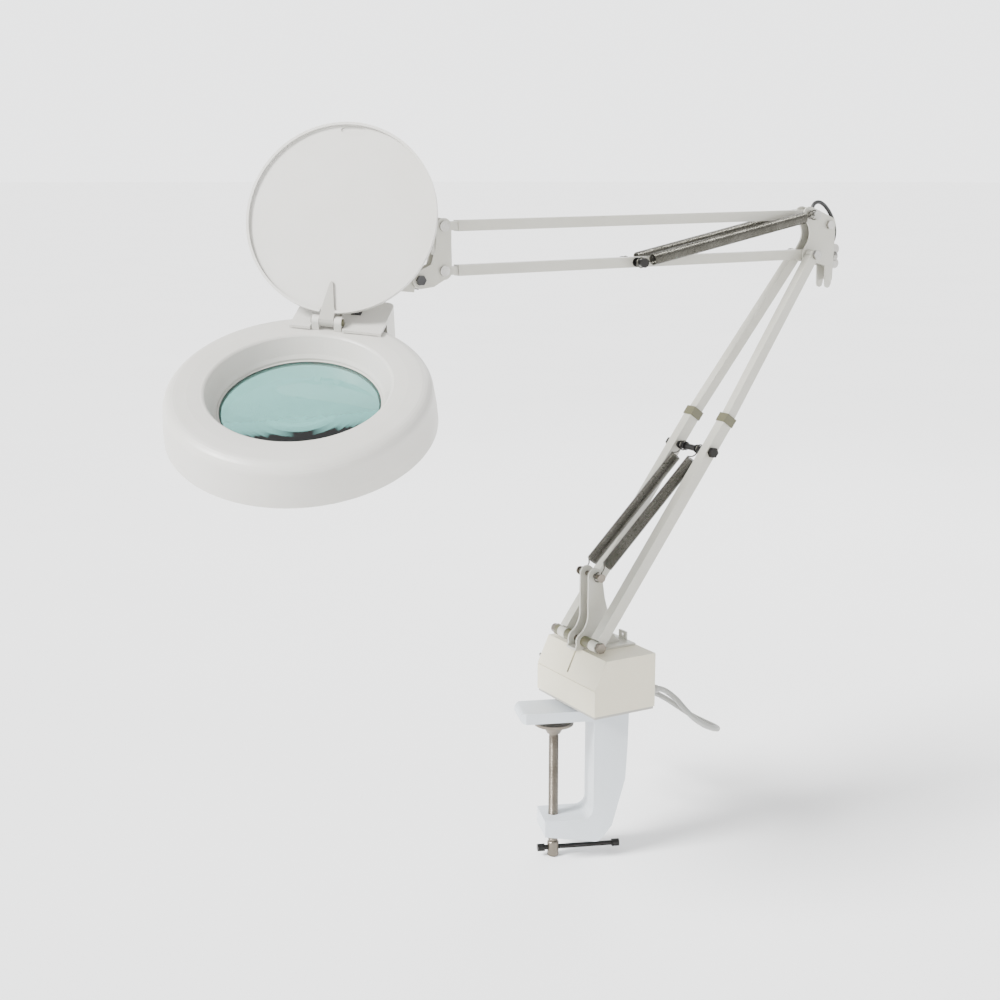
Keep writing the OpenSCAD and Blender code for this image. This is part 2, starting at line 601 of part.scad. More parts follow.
module swivel_knuckle() color(steel) at_neck() difference() {
    union() {
        translate([0, 0, boss_low - 0.2]) cylinder(r = 4, h = boss_h + 3.4);
        translate([0, 0, boss_low + boss_h + 0.3]) cylinder(r = 6.5, h = 2.6);
        translate([0, 0, boss_low - 4.2]) cylinder(r = 8, h = 4);
        rotate([0, 0, head_turn]) {
            translate([-6, -7, 0]) cube([12, 14, boss_low - 3]);
            rod_y(8, 14);
        }
    }
    rotate([0, 0, head_turn]) rod_y(pin_r + fit, 30);
}

// ---------- head ----------
shell_t = 2.5;
lug_y = 10.2; // the two screws that hold the housing to the head
lug_z = -18;
module shell_profile() polygon(concat(
    [[head_r, low_z], [head_r - 0.6, low_z + 10]],
    arc(head_r - 13.5, top_z - 10.5, 11, 8, 90, 7),
    [[86, top_z + 0.9], [78, top_z + 0.6]],
    arc(75.5, top_z - 2.9, 3.4, 80, 170, 4),
    [[67, -4.5], [65.2, -7.5], [65.2, -14], [67.4, -14], [67.4, -7], [74.6, top_z - 3]],
    [[78, top_z - 1.9], [86, top_z - 1.6]],
    arc(head_r - 13.5, top_z - 10.5, 8.5, 90, 8, 7),
    [[head_r - 0.6 - shell_t, low_z + 10], [head_r - shell_t, low_z]]));
module head_shell() color(white) at_lens() difference() {
    rotate_extrude($fn = 96) shell_profile();
    // opening to the neck housing, for the wires
    translate([-head_mid - 30, -30, low_z + 12]) cube([40, 60, 12]);
    // slot for the swivel's tongue
    translate([-head_mid - 9, -7.6, low_z + 12]) cube([30, 15.2, 60]);
    for (side = [-1, 1]) translate([-head_mid - 20, side * lug_y, lug_z]) rotate([0, 90, 0])
        cylinder(r = 1.7, h = 30);
}
// The housing behind the head, with the slot for the swivel's tongue
neck_back = 15;
neck_near = 46;   // the housing is offset towards the switch's side
neck_far = 31;
neck_corner = 6;
switch_y = -18.2;
module neck_block(inset) translate([0, 0, low_z + 4 + inset]) linear_extrude(36 - 2 * inset) polygon(concat(
    [[-33, inset - neck_near]],
    arc(neck_back - neck_corner, neck_corner - neck_near, neck_corner - inset, -90, 0, 5),
    arc(neck_back - neck_corner, neck_far - neck_corner, neck_corner - inset, 0, 90, 5),
    [[-33, neck_far - inset]]));
module neck_housing() color(white) at_head() difference() {
    neck_block(0);
    difference() {
        neck_block(2.4);
        translate([-40, -12.8, -40]) cube([80, 25.6, 80]);
    }
    // the head fits in front of it
    translate([head_mid, 0, low_z - 1]) cylinder(r = head_r + 0.05, h = top_z - low_z + 2, $fn = 96);
    // slot for the tongue, open above and behind
    translate([-14, -7.6, -12]) cube([60, 15.2, 80]);
    rod_y(pin_r, 50);
    for (side = [-1, 1]) translate([-20, side * lug_y, lug_z]) rotate([0, 90, 0]) cylinder(r = 1.6, h = 30);
    translate([-9, switch_y - 4.5, top_z - 1]) cube([14, 9, 20]);
    // room for the cover's hinge
    translate([-40, -13.6, top_z]) cube([18.4, 27.2, 10]);
}
module neck_pin() color(steel) at_head() rod_y(pin_r, 25);
module head_screws() color(steel) at_head() for (side = [-1, 1])
    translate([-8.6, side * lug_y, lug_z]) rotate([0, 90, 0]) {
        cylinder(r = 3, h = 1.8);
        cylinder(r = 1.6, h = 16);
    }
module reflector() color([0.97, 0.97, 0.96]) at_lens() translate([0, 0, top_z - 3.6])
    ring_z(94, 78.5, 1.2);
module lens_profile() polygon(concat(
    [for (i = [0 : 10]) let (r = lens_r * i / 10) [r, -11 - 1.3 - 5.6 * (1 - pow(r / lens_r, 2))]],
    [for (i = [10 : -1 : 0]) let (r = lens_r * i / 10) [r, -11 + 1.3 + 5.6 * (1 - pow(r / lens_r, 2))]]));
module lens() color([0.75, 0.9, 0.88, 0.45]) at_lens() rotate_extrude($fn = 96) lens_profile();
module lens_ring() color(white) at_lens() {
    translate([0, 0, -16.2]) ring_z(67.2, 61.5, 2.2);
    translate([0, 0, -14.1]) ring_z(65.1, 61.5, 1.35);
    translate([0, 0, -12.8]) ring_z(65.1, lens_r + 0.1, 3.4);
}
module tube_ring(r) translate([0, 0, tube_z]) rotate_extrude($fn = 96) translate([tube_mid, 0])
    circle(r = r, $fn = 32);
module ring_tube() color([0.96, 0.97, 0.98]) at_lens() difference() {
    tube_ring(tube_r);
    tube_ring(tube_r - 0.9);
    translate([tube_mid - 20, -13, tube_z - 20]) cube([40, 26, 40]);
}
module tube_clips() color(steel) at_lens() for (a = [60, 180, 300]) rotate([0, 0, a])
    translate([tube_mid, 0, tube_z]) difference() {
        union() {
            rod_y(tube_r + 1, 7);
            translate([-3, -3.5, tube_r - 1]) cube([6, 7, top_z - 3.6 - tube_z - tube_r + 1]);
        }
        rod_y(tube_r + 0.25, 9);
        translate([-30, -5, -30]) cube([60, 10, 22]);
    }
module tube_socket() color([0.88, 0.88, 0.86]) at_lens() translate([tube_mid, 0, tube_z]) {
    translate([-11.5, -12.8, -10]) cube([21, 25.6, 22]);
    for (side = [-1, 1]) for (x = [-5, 5]) translate([x, side * 12, 0]) rod_y(1.2, 5);
}
module switch_rocker() color(dark) at_head() translate([-2, switch_y, top_z + 3]) {
    rotate([0, 8, 0]) translate([-6.4, -4, -3]) cube([12.8, 8, 6]);
    rod_y(2.4, 8.8);
}
module hinge_block() color(white) at_head() translate([hinge[0], 0, hinge[1]]) for (side = [-1, 1])
    difference() {
        union() {
            rod_y(4.6, 6, side * 9.4);
            translate([-4.6, side * 9.4 - 3, top_z + 1 - hinge[1]]) cube([9.2, 6, hinge[1] - top_z - 1]);
        }
        rod_y(2, 40);
    }
module hinge_pin() color(olive) at_head() translate([hinge[0], 0, hinge[1]]) {
    rod_y(2, 26);
    for (side = [-1, 1]) rod_y(2.9, 1, side * 12.9);
}

// ---------- cover ----------
// In the cover's own frame the hinge is the Y axis, the shut cover runs towards -X over the head
cover_top = -0.5;
module lens_cover() color(white) at_cover() difference() {
    union() {
        translate([-cover_mid, 0, cover_top - 2.2]) cylinder(r = cover_r, h = 2.2, $fn = 96);
        translate([-cover_mid, 0, cover_top - 5]) ring_z(cover_r, cover_r - 2.2, 3);
    }
    translate([-cover_mid - cover_r + 6.5, 0, cover_top - 8]) scale([0.5, 1.35, 1]) cylinder(r = 8, h = 6.9);
    translate([-6, -16, -20]) cube([20, 32, 40]);
    // notch in the rim for the leaf
    translate([-12, -6.3, cover_top - 8]) cube([14, 12.6, 5.75]);
}
module hinge_leaf() color([0.78, 0.78, 0.76]) at_cover() difference() {
    union() {
        rod_y(4.4, 12);
        translate([-10, -6, cover_top - 4.3]) cube([10, 12, 2]);
        translate([0, 0, cover_top - 4.3]) linear_extrude(2)
            polygon([[-9, -5.4], [-9, 5.4], [-31, 1.3], [-32.5, 0], [-31, -1.3]]);
    }
    rod_y(2 + fit, 40);
}

clamp_frame();
swivel_pad();
clamp_screw();
tommy_bar();
tommy_caps();
swivel_post();
base_plate();
base_cover();
base_screws();
ballast_core();
ballast_winding();
terminal_block();
strain_relief();
arm_bracket();
base_pin();
base_spacers();
spring_anchor();
lower_spring_far();
lower_spring_near();
mains_cord();
cord_coil();
cord_tie();
plug_body();
plug_pins();
lower_bar_far();
lower_bar_near();
upper_rod_far();
upper_rod_near();
bar_collars();
crossbar();
elbow_bracket();
elbow_pins();
elbow_cable();
elbow_knob();
top_bar();
bottom_bar();
bar_ends();
cross_pin();
upper_spring_far();
upper_spring_near();
link_bracket();
link_pins();
head_arm();
tilt_knob();
swivel_knuckle();
head_shell();
neck_housing();
neck_pin();
head_screws();
reflector();
lens();
lens_ring();
ring_tube();
tube_clips();
tube_socket();
switch_rocker();
hinge_block();
lens_cover();
hinge_leaf();
hinge_pin();
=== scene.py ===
"""Looks of the magnifying lamp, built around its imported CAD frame.

Sizes and places are in millimetres, as in the CAD source, unless a comment says otherwise.
"""
import json
import math

import bpy
from mathutils import Matrix, Vector


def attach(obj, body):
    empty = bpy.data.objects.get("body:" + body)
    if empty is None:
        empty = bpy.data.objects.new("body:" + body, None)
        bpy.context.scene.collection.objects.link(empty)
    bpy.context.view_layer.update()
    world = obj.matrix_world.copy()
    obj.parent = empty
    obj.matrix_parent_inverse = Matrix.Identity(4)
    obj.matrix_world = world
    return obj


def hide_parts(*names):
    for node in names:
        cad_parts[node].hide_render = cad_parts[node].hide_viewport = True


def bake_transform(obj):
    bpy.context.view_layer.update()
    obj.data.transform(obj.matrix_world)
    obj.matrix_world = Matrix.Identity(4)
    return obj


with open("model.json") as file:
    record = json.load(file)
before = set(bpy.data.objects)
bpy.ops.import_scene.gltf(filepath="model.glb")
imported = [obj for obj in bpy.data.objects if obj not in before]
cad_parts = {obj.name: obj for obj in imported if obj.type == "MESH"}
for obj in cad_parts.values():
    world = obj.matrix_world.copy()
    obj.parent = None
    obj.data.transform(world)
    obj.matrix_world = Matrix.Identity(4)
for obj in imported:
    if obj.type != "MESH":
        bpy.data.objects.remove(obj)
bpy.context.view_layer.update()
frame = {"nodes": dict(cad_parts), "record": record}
NODES = frame["nodes"]
NODE_SLOTS = {entry["node"]: entry["material_slot"] for entry in frame["record"]["subparts"]}
MM = 0.001
rad = math.radians


def add(name, data):
    """A new object in the scene."""
    made = bpy.data.objects.new(name, data)
    bpy.context.scene.collection.objects.link(made)
    return made


def shift(x, y, z):
    return Matrix.Translation((x, y, z))


def spin(degrees, axis):
    return Matrix.Rotation(rad(degrees), 4, axis)


# ---------- camera, in metres and degrees ----------
LOOKS_DOWN, LOOKS_RIGHT = 11.84, 29.77
camera_data = bpy.data.cameras.new("camera")
camera_data.sensor_width = 36
camera_data.lens = 57.77
camera_data.clip_end = 60
camera = add("camera", camera_data)
camera.location = (-0.7735, -1.2480, 0.5201)
camera.rotation_euler = (rad(90 - LOOKS_DOWN), 0, rad(-LOOKS_RIGHT))
bpy.context.scene.camera = camera

# ---------- places of the arm: (x, z) pairs lie in its plane, from its base pin ----------
AT_ARM = shift(17.985, -17.101, 79)
ELBOW = (255.625, 354.434)
ANCHOR = (11.2, 62)
CROSSBAR = (125.18, 173.567)
CROSS_PIN = (ELBOW[0] - 201.992, ELBOW[1] - 1.763)
TOP_PIN = (ELBOW[0], ELBOW[1] + 38)
NECK = (-243, 312)
SPRING_Y = 13     # the springs lie this far to each side of the arm's plane

# ---------- places and sizes of the mains cord ----------
ROUTE = [(69.5, -42, 25), (80, -42, 25), (91.5, -42, 25), (99, -46, 22), (104, -55.5, 16),
         (106, -66, 9.5), (108.5, -76.5, 3.5), (115, -84.5, -2.5), (125.5, -86.5, -7.5),
         (135.5, -80, -11.5), (140, -68, -13.5), (139.5, -54, -13.5), (136.5, -38, -11.5),
         (133, -22, -7.5), (129, -6, -3), (124, 8, 0.5), (118, 22, 2.4), (112.5, 36, 2.7),
         (109.4, 48, 2.7)]
CORD_D = 5.4
COIL_MID = (74, 69)
COIL_R = 30       # radius of the middle column of the coil's turns
COIL_TURNS = 8
PLUG_TURN = 15    # degrees past the last full turn at which the cord leaves the coil
PLUG_FAR = 32.3   # from there to the plug
PLUG_Z = 6.6      # height of the plug's middle

AT_ELBOW = AT_ARM @ shift(ELBOW[0], 0, ELBOW[1])
AT_CLAMP = shift(46.985, -17.101, 0) @ spin(160, "Z")
AT_SCREW = AT_CLAMP @ shift(50, 0, 0)
# the head hangs on three joints: the head arm's tilt, the swivel and the head's own tilt
AT_HEAD = AT_ARM @ shift(NECK[0], 0, NECK[1]) @ spin(6, "Y") @ spin(50, "Z") @ spin(-30, "Y")
AT_LENS = AT_HEAD @ shift(-111, 0, 0)
# where the cord leaves the coil, with X along it
AT_LEAD = (shift(COIL_MID[0], COIL_MID[1], 0) @ spin(PLUG_TURN, "Z")
           @ shift(COIL_R + CORD_D, 0, 0) @ spin(90, "Z"))


# ---------- materials ----------
class Shader:
    """A Principled material whose sockets are set or linked one at a time."""

    def __init__(self, name, colour, rough, metallic=0.0):
        self.material = bpy.data.materials.new(name)
        self.material.use_nodes = True
        self.tree = self.material.node_tree
        self.shader = self.tree.nodes["Principled BSDF"]
        self.set(**{"Base Color": (*colour, 1), "Roughness": rough, "Metallic": metallic})
        self.coords = self.tree.nodes.new("ShaderNodeTexCoord").outputs["Object"]

    def set(self, **values):
        for key, value in values.items():
            self.shader.inputs[key].default_value = value

    def node(self, kind, **values):
        """A new node with its input sockets set by name."""
        made = self.tree.nodes.new(kind)
        for key, value in values.items():
            made.inputs[key].default_value = value
        return made

    def link(self, a, b):
        self.tree.links.new(a, b)

    def noise(self, scale, detail=3, stretch=None):
        made = self.node("ShaderNodeTexNoise", Scale=scale, Detail=detail)
        source = self.coords
        if stretch:
            mapping = self.node("ShaderNodeMapping", Scale=stretch)
            self.link(source, mapping.inputs["Vector"])
            source = mapping.outputs["Vector"]
        self.link(source, made.inputs["Vector"])
        return made.outputs["Fac"]

    def colour(self, fac, low, high):
        """Let a factor blend the base colour from low to high."""
        made = self.node("ShaderNodeValToRGB")
        for element, (at, colour) in zip(made.color_ramp.elements, ((0.35, low), (0.65, high))):
            element.position = at
            element.color = (*colour, 1)
        self.link(fac, made.inputs["Fac"])
        self.link(made.outputs["Color"], self.shader.inputs["Base Color"])

    def rough(self, fac, low, high):
        made = self.node("ShaderNodeMapRange", **{"To Min": low, "To Max": high})
        self.link(fac, made.inputs["Value"])
        self.link(made.outputs["Result"], self.shader.inputs["Roughness"])

    def bump(self, height, distance, strength, after=None):
        """Surface relief, distance in metres, on top of an earlier bump if one is given."""
        made = self.node("ShaderNodeBump", Strength=strength, Distance=distance)
        self.link(height, made.inputs["Height"])
        if after:
            self.link(after, made.inputs["Normal"])
        self.link(made.outputs["Normal"], self.shader.inputs["Normal"])
        return made.outputs["Normal"]


GRIME = (0.955, 0.95, 0.93)           # tint of paint where it drifts darkest
DULL = (0.72, 0.72, 0.72 * 0.97)      # tint of bare metal in its duller patches


def tinted(colour, factor):
    return tuple(c * f for c, f in zip(colour, factor))


def paint(name, colour, rough, peel=900, depth=0.00003, coat=0.0):
    """Enamel or moulded plastic: slow colour drift, fine surface texture, uneven gloss."""
    s = Shader(name, colour, rough)
    s.colour(s.noise(14, 4), tinted(colour, GRIME), colour)
    s.rough(s.noise(60, 5), rough - 0.06, rough + 0.09)
    first = s.bump(s.noise(peel, 2), depth, 0.6)
    s.bump(s.noise(peel * 0.12, 2), depth * 5, 0.35, first)
    if coat:
        s.set(**{"Coat Weight": coat, "Coat Roughness": 0.12})
    return s.material


def metal(name, colour, rough, stretch=(1, 1, 12), scale=260, depth=0.00002):
    """Bare metal: drawn or turned streaks, and duller patches."""
    s = Shader(name, colour, rough, 1.0)
    streaks = s.noise(scale, 4, stretch)
    s.colour(s.noise(45, 5), tinted(colour, DULL), colour)
    s.rough(streaks, rough - 0.08, rough + 0.14)
    s.bump(streaks, depth, 0.5)
    return s.material


def wound_copper():
    """Enamelled wire wound in close turns."""
    s = Shader("wound_copper", (0.50, 0.22, 0.10), 0.35, 0.6)
    wave = s.node("ShaderNodeTexWave", Scale=1900.0, Distortion=0.6)
    s.link(s.coords, wave.inputs["Vector"])
    s.colour(wave.outputs["Fac"], (0.24, 0.09, 0.035), (0.56, 0.26, 0.12))
    s.bump(wave.outputs["Fac"], 0.0002, 0.8)
    return s.material


def lens_glass():
    """Thick glass with a teal cast, its tint made darker than the glass's own as a painted reflection of
    the dark underside.
    """
    # painted reflection: this teal base colour is darker than the glass's own, standing in for the dark
    # underside that the lens reflects
    s = Shader("lens_glass", (0.15, 0.36, 0.33), 0.0)
    s.set(**{"Transmission Weight": 1.0, "IOR": 1.52})
    s.rough(s.noise(30, 3), 0.0, 0.03)
    return s.material


def phosphor_glass():
    """A white powder coat behind clear glass."""
    s = Shader("phosphor_glass", (0.86, 0.87, 0.88), 0.5)
    s.colour(s.noise(25, 3), (0.83, 0.84, 0.84), (0.88, 0.89, 0.90))
    s.set(**{"Coat Weight": 0.9, "Coat Roughness": 0.04})
    s.bump(s.noise(120, 2), 0.00002, 0.3)
    return s.material


MATERIALS = {
    "cast_clamp": paint("cast_enamel", (0.52, 0.555, 0.59), 0.42, peel=420, depth=0.00012),
    "arm_enamel": paint("arm_enamel", (0.43, 0.42, 0.37), 0.30, peel=700, coat=0.3),
    "box_plastic": paint("ivory_plastic", (0.60, 0.56, 0.44), 0.46, peel=1500, depth=0.00005),
    "plate_steel": paint("plate_paint", (0.34, 0.33, 0.30), 0.5),
    "screw_steel": metal("zinc_steel", (0.21, 0.185, 0.155), 0.3),
    "bright_steel": metal("bright_steel", (0.42, 0.41, 0.39), 0.22),
    "black_steel": metal("black_steel", (0.035, 0.034, 0.033), 0.38),
    "spring_steel": metal("spring_steel", (0.12, 0.115, 0.10), 0.26, stretch=(1, 1, 1), scale=500),
    # painted shade: the olive spacers are made darker than their own tint, standing in for the shade
    # between the bar feet
    "spacer_olive": paint("olive_nylon_and_painted_shade", (0.09, 0.085, 0.045), 0.35, peel=800),
    "core_iron": metal("core_iron", (0.13, 0.13, 0.14), 0.5, stretch=(1, 60, 1), scale=40, depth=0.0002),
    "block_nylon": paint("nylon", (0.55, 0.53, 0.46), 0.5),
    "cord_pvc": paint("cord_pvc", (0.36, 0.36, 0.345), 0.5, peel=1100),
    "black_rubber": paint("black_rubber", (0.018, 0.018, 0.018), 0.5),
    "black_plastic": paint("black_plastic", (0.02, 0.02, 0.021), 0.36, peel=1300),
    "head_plastic": paint("head_plastic", (0.52, 0.51, 0.48), 0.36, peel=1300),
    "inner_white": paint("inner_white", (0.66, 0.66, 0.64), 0.6),
    "winding": wound_copper(),
    "lens_glass": lens_glass(),
    "tube_glass": phosphor_glass(),
}


# ---------- mesh helpers: a mesh is a (verts, faces) pair ----------
def piece(name, mesh, slot, body, *nodes, place=Matrix.Identity(4), smooth=True):
    """A new object from a mesh, standing for CAD nodes; with no body, it is left unattached."""
    data = bpy.data.meshes.new(name)
    verts, faces = mesh
    data.from_pydata([(place @ Vector(v)) * MM for v in verts], [], faces)
    data.materials.append(MATERIALS[slot])
    made = add(name, data)
    for polygon in data.polygons:
        polygon.use_smooth = smooth
    data.update()
    if nodes:
        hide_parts(*nodes)
    if body:
        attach(made, body)
    return made


def joined(meshes):
    """One mesh from several."""
    verts, faces = [], []
    for more, cells in meshes:
        faces += [tuple(i + len(verts) for i in cell) for cell in cells]
        verts += more
    return verts, faces


def circle(n):
    """The (cos, sin) pairs of n even steps round a circle."""
    return [(math.cos(math.tau * k / n), math.sin(math.tau * k / n)) for k in range(n)]


def superellipse(half_w, half_h, power, n):
    """Points round a section: an ellipse at power 2, squarer as the power grows."""
    return [(half_w * math.copysign(abs(c) ** (2 / power), c),
             half_h * math.copysign(abs(s) ** (2 / power), s)) for c, s in circle(n)]


def skin(rings, n):
    """Faces over rings of n points, with a cap on each end."""
    faces = [(i * n + k, i * n + (k + 1) % n, (i + 1) * n + (k + 1) % n, (i + 1) * n + k)
             for i in range(rings - 1) for k in range(n)]
    faces.append(tuple(range(n - 1, -1, -1)))
    faces.append(tuple((rings - 1) * n + k for k in range(n)))
    return faces


def lathe(profile, n):
    """Rings about Z through (radius, z) pairs, from low z to high z."""
    return [(r * c, r * s, z) for r, z in profile for c, s in circle(n)], skin(len(profile), n)


def loft(sections, n=32):
    """Superellipses across X through (x, half_w, half_h, power) rows."""
    verts = [(x, u, v) for x, *section in sections for u, v in superellipse(*section, n)]
    return verts, skin(len(sections), n)


def frames_along(points):
    """Rotation-minimising frames: a (side, up) pair for each point of a path."""
    tangents = [(points[min(i + 1, len(points) - 1)] - points[max(i - 1, 0)]).normalized()
                for i in range(len(points))]
    side = tangents[0].orthogonal().normalized()
    pairs = []
    for i, t in enumerate(tangents):
        if i:
            side = (side - t * side.dot(t)).normalized()
        pairs.append((side, t.cross(side)))
    return pairs


def tube(points, radii, n):
    """A round tube along points; radii is one number, or a list with one for each point."""
    points = [Vector(p) for p in points]
    if not isinstance(radii, list):
        radii = [radii] * len(points)
    ring = circle(n)
    verts = []
    for p, r, (side, up) in zip(points, radii, frames_along(points)):
        verts += [p + (side * c + up * s) * r for c, s in ring]
    return verts, skin(len(points), n)


def catmull(points, m):
    """A smooth curve through points, m steps to a span."""
    points = [Vector(p) for p in points]
    last = len(points) - 1
    out = []
    for i in range(last):
        a, b, c, d = points[max(i - 1, 0)], points[i], points[i + 1], points[min(i + 2, last)]
        for j in range(m):
            t = j / m
            out.append(0.5 * (2 * b + (c - a) * t + (2 * a - 5 * b + 4 * c - d) * t ** 2
                              + (3 * b - a - 3 * c + d) * t ** 3))
    return out + [points[-1]]


def smoothstep(t):
    t = min(1, max(0, t))
    return t * t * (3 - 2 * t)


# ---------- mains cord ----------
# where each turn lies in the coil: (cords out from COIL_R, layers up)
COIL_SLOTS = [(1, 0), (0, 0), (-1, 0), (-1, 1), (-1, 2), (0, 2), (0, 1), (1, 1), (1, 2)]
SHIFT_FROM = 320   # degrees round the first turn at which it starts to move over
SHIFT = 40         # degrees that a move takes, and by which each next turn moves earlier
COIL_STEP = 6      # degrees between the coil's points
COIL_END = 360 * COIL_TURNS + PLUG_TURN
STRAIGHT_STEPS = 6
LEAD_STEPS = 8
INTO_PLUG = 2


def coil_point(angle):
    """A point of the coil; each turn moves over to the next turn's place near its end."""
    turn, theta = divmod(angle, 360)
    turn = int(turn)
    f = 0 if turn >= COIL_TURNS else smoothstep((theta - (SHIFT_FROM - SHIFT * turn)) / SHIFT)
    here, after = COIL_SLOTS[turn], COIL_SLOTS[min(turn + 1, COIL_TURNS)]
    r = COIL_R + CORD_D * (here[0] + (after[0] - here[0]) * f)
    z = CORD_D * (0.5 + here[1] + (after[1] - here[1]) * f)
    return (COIL_MID[0] + r * math.cos(rad(angle)), COIL_MID[1] + r * math.sin(rad(angle)), z)


def cord_points():
    """The free stretch, a straight run up to the coil, the coil's turns, and the lead to the plug."""
    path = catmull(ROUTE, 6)
    start = Vector((COIL_MID[0] + COIL_R + CORD_D, ROUTE[-1][1], CORD_D / 2))
    path += [start + Vector((0, (COIL_MID[1] - start.y) * i / STRAIGHT_STEPS, 0))
             for i in range(1, STRAIGHT_STEPS)]
    path += [Vector(coil_point(COIL_STEP * i)) for i in range(int(COIL_END / COIL_STEP) + 1)]
    lead_top = coil_point(COIL_END)[2]
    for i in range(1, LEAD_STEPS + 1):
        along = (PLUG_FAR + INTO_PLUG) * i / LEAD_STEPS
        height = lead_top + (PLUG_Z - lead_top) * smoothstep(along / PLUG_FAR)
        path.append(AT_LEAD @ Vector((along, 0, height)))
    return path


cord_path = cord_points()
cord = piece("mains_cord_wound", tube(cord_path, CORD_D / 2, 12), "cord_pvc", None,
             "mains_cord", "cord_coil")


# ---------- plug, its prongs, and the coil's tie ----------
RIBS, RIB_PITCH = 5, 2.3       # of the plug's strain relief
GRIPS, GRIP_PITCH = 4, 3.2     # waves along the plug's sides
PRONG_LONG, PRONG_R = 18.2, 2
TIE_Y, TIE_Z = 9.0, 8.6        # half sizes of the loop round the bundle
TIE_MID, TIE_LOW = 8.1, 0.1    # heights of the loop's middle and of its lowest point
TIE_HALF, TIE_THICK = 2.2, 0.8
TIE_STEPS = 48


def plug_body():
    """A ribbed strain relief that widens into a moulded grip."""
    rows = [(0, 2.9, 2.9, 2), (0.3, 3.5, 3.5, 2)]
    for i in range(RIBS):
        at = 1.2 + i * RIB_PITCH
        size = 3.7 + i * 0.42
        rows += [(at, size, size, 2), (at + 1.1, size + 0.1, size + 0.1, 2),
                 (at + 1.4, size - 0.7, size - 0.7, 2), (at + 2.0, size - 0.7, size - 0.7, 2)]
    rows += [(13.2, 6.2, 5.6, 2.2), (14.2, 7.6, 6.0, 2.8), (15.5, 8.5, 6.3, 3.5), (18, 8.9, 6.45, 4)]
    for i in range(GRIPS):
        at = 19.5 + i * GRIP_PITCH
        rows += [(at, 8.95, 6.45, 4), (at + 1.6, 8.3, 6.3, 4)]
    rows += [(33, 8.95, 6.45, 4), (35.2, 8.9, 6.4, 4), (36, 8.2, 5.8, 4)]
    return loft(rows)


def prongs():
    """Two round pins with rounded tips."""
    verts, faces = lathe([(PRONG_R * 0.6, 0), (PRONG_R, 0.4), (PRONG_R, PRONG_LONG - 1.2),
                          (PRONG_R * 0.85, PRONG_LONG - 0.4), (PRONG_R * 0.5, PRONG_LONG)], 20)
    pair = []
    for side in (-1, 1):
        turned = shift(PLUG_FAR + 35.8, side * 5, PLUG_Z) @ spin(90, "Y")
        pair.append(([turned @ Vector(v) for v in verts], faces))
    return joined(pair)


def tie_loop():
    """A flat strap looped round the bundle, four points to a step."""
    verts = []
    for y, z in superellipse(TIE_Y, TIE_Z, 4, TIE_STEPS):
        for x, grow in ((-TIE_HALF, 0), (-TIE_HALF, TIE_THICK), (TIE_HALF, TIE_THICK), (TIE_HALF, 0)):
            upper = TIE_MID + z * (1 + grow / TIE_Z)
            verts.append((x, y * (1 + grow / TIE_Y), upper if z > 0 else max(TIE_LOW, TIE_MID + z)))
    return verts, [(i * 4 + k, i * 4 + (k + 1) % 4, ((i + 1) % TIE_STEPS) * 4 + (k + 1) % 4,
                    ((i + 1) % TIE_STEPS) * 4 + k) for i in range(TIE_STEPS) for k in range(4)]


plug = piece("plug_moulding", plug_body(), "cord_pvc", "clamp", "plug_body",
             place=AT_LEAD @ shift(PLUG_FAR, 0, PLUG_Z))
plug_pins = piece("plug_prongs", prongs(), "bright_steel", "clamp", "plug_pins", place=AT_LEAD)
tie = piece("cord_strap", tie_loop(), "black_plastic", "clamp", "cord_tie",
            place=shift(COIL_MID[0], COIL_MID[1] + COIL_R, 0), smooth=False)

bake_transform(cord)


# ---------- bush where the cord leaves the box ----------
BUSH_RIBS, BUSH_PITCH = 6, 3.1


def bush():
    """A flange and ribs that taper along the cord."""
    profile = [(2.9, -0.2), (5.8, -0.2), (6.0, 0.3), (6.0, 1.7), (5.6, 2.2), (4.9, 2.3)]
    for i in range(BUSH_RIBS):
        at = 2.8 + i * BUSH_PITCH
        size = 4.85 - i * 0.15
        profile += [(size, at), (size, at + 1.9), (size - 0.75, at + 2.2), (size - 0.75, at + 2.8)]
    return lathe(profile + [(3.6, 21.4), (3.3, 21.8), (2.6, 21.8)], 32)


piece("cord_bush", bush(), "cord_pvc", "base", "strain_relief", place=shift(*ROUTE[0]) @ spin(90, "Y"))

# ---------- springs ----------
WIRE = 0.68         # radius of the wire
COIL_MEAN = 4.95    # radius of the turns, to the middle of the wire
EYE = 4.5           # radius of the eye round its pin
HOOK = 13           # from a pin to the first turn
TURN_STEPS = 14


def spring(name, a, b, y, node):
    """A close-wound tension spring between two pins, with a round eye at each end."""
    length = math.hypot(b[0] - a[0], b[1] - a[1])
    eye = [(EYE * math.cos(rad(t)), EYE * math.sin(rad(t)), 0) for t in range(35, 361, 25)]
    eye += [(EYE, 0, 0), (7.5, 0.2, 0), (10, 1.2, 0.3), (12, 3.4, 0.3)]
    wound_long = (length - HOOK) - HOOK
    turns = int(wound_long / (2 * WIRE))
    steps = turns * TURN_STEPS
    wound = [(HOOK + wound_long * i / steps, COIL_MEAN * math.cos(math.tau * turns * i / steps),
              COIL_MEAN * math.sin(math.tau * turns * i / steps)) for i in range(steps + 1)]
    far = [(length - x, v, -w) for x, v, w in reversed(eye)]
    slope = math.atan2(b[1] - a[1], b[0] - a[0])
    # local (along, in the arm's plane, across it) to the arm's frame
    lie = Matrix(((math.cos(slope), -math.sin(slope), 0, a[0]), (0, 0, -1, y),
                  (math.sin(slope), math.cos(slope), 0, a[1]), (0, 0, 0, 1)))
    made = piece(name, tube(eye + wound + far, WIRE, 6), "spring_steel", None, node, place=AT_ARM @ lie)
    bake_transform(made)


for label, y in (("far", SPRING_Y), ("near", -SPRING_Y)):
    spring("lower_coil_" + label, ANCHOR, CROSSBAR, y, "lower_spring_" + label)
    spring("upper_coil_" + label, TOP_PIN, CROSS_PIN, y, "upper_spring_" + label)

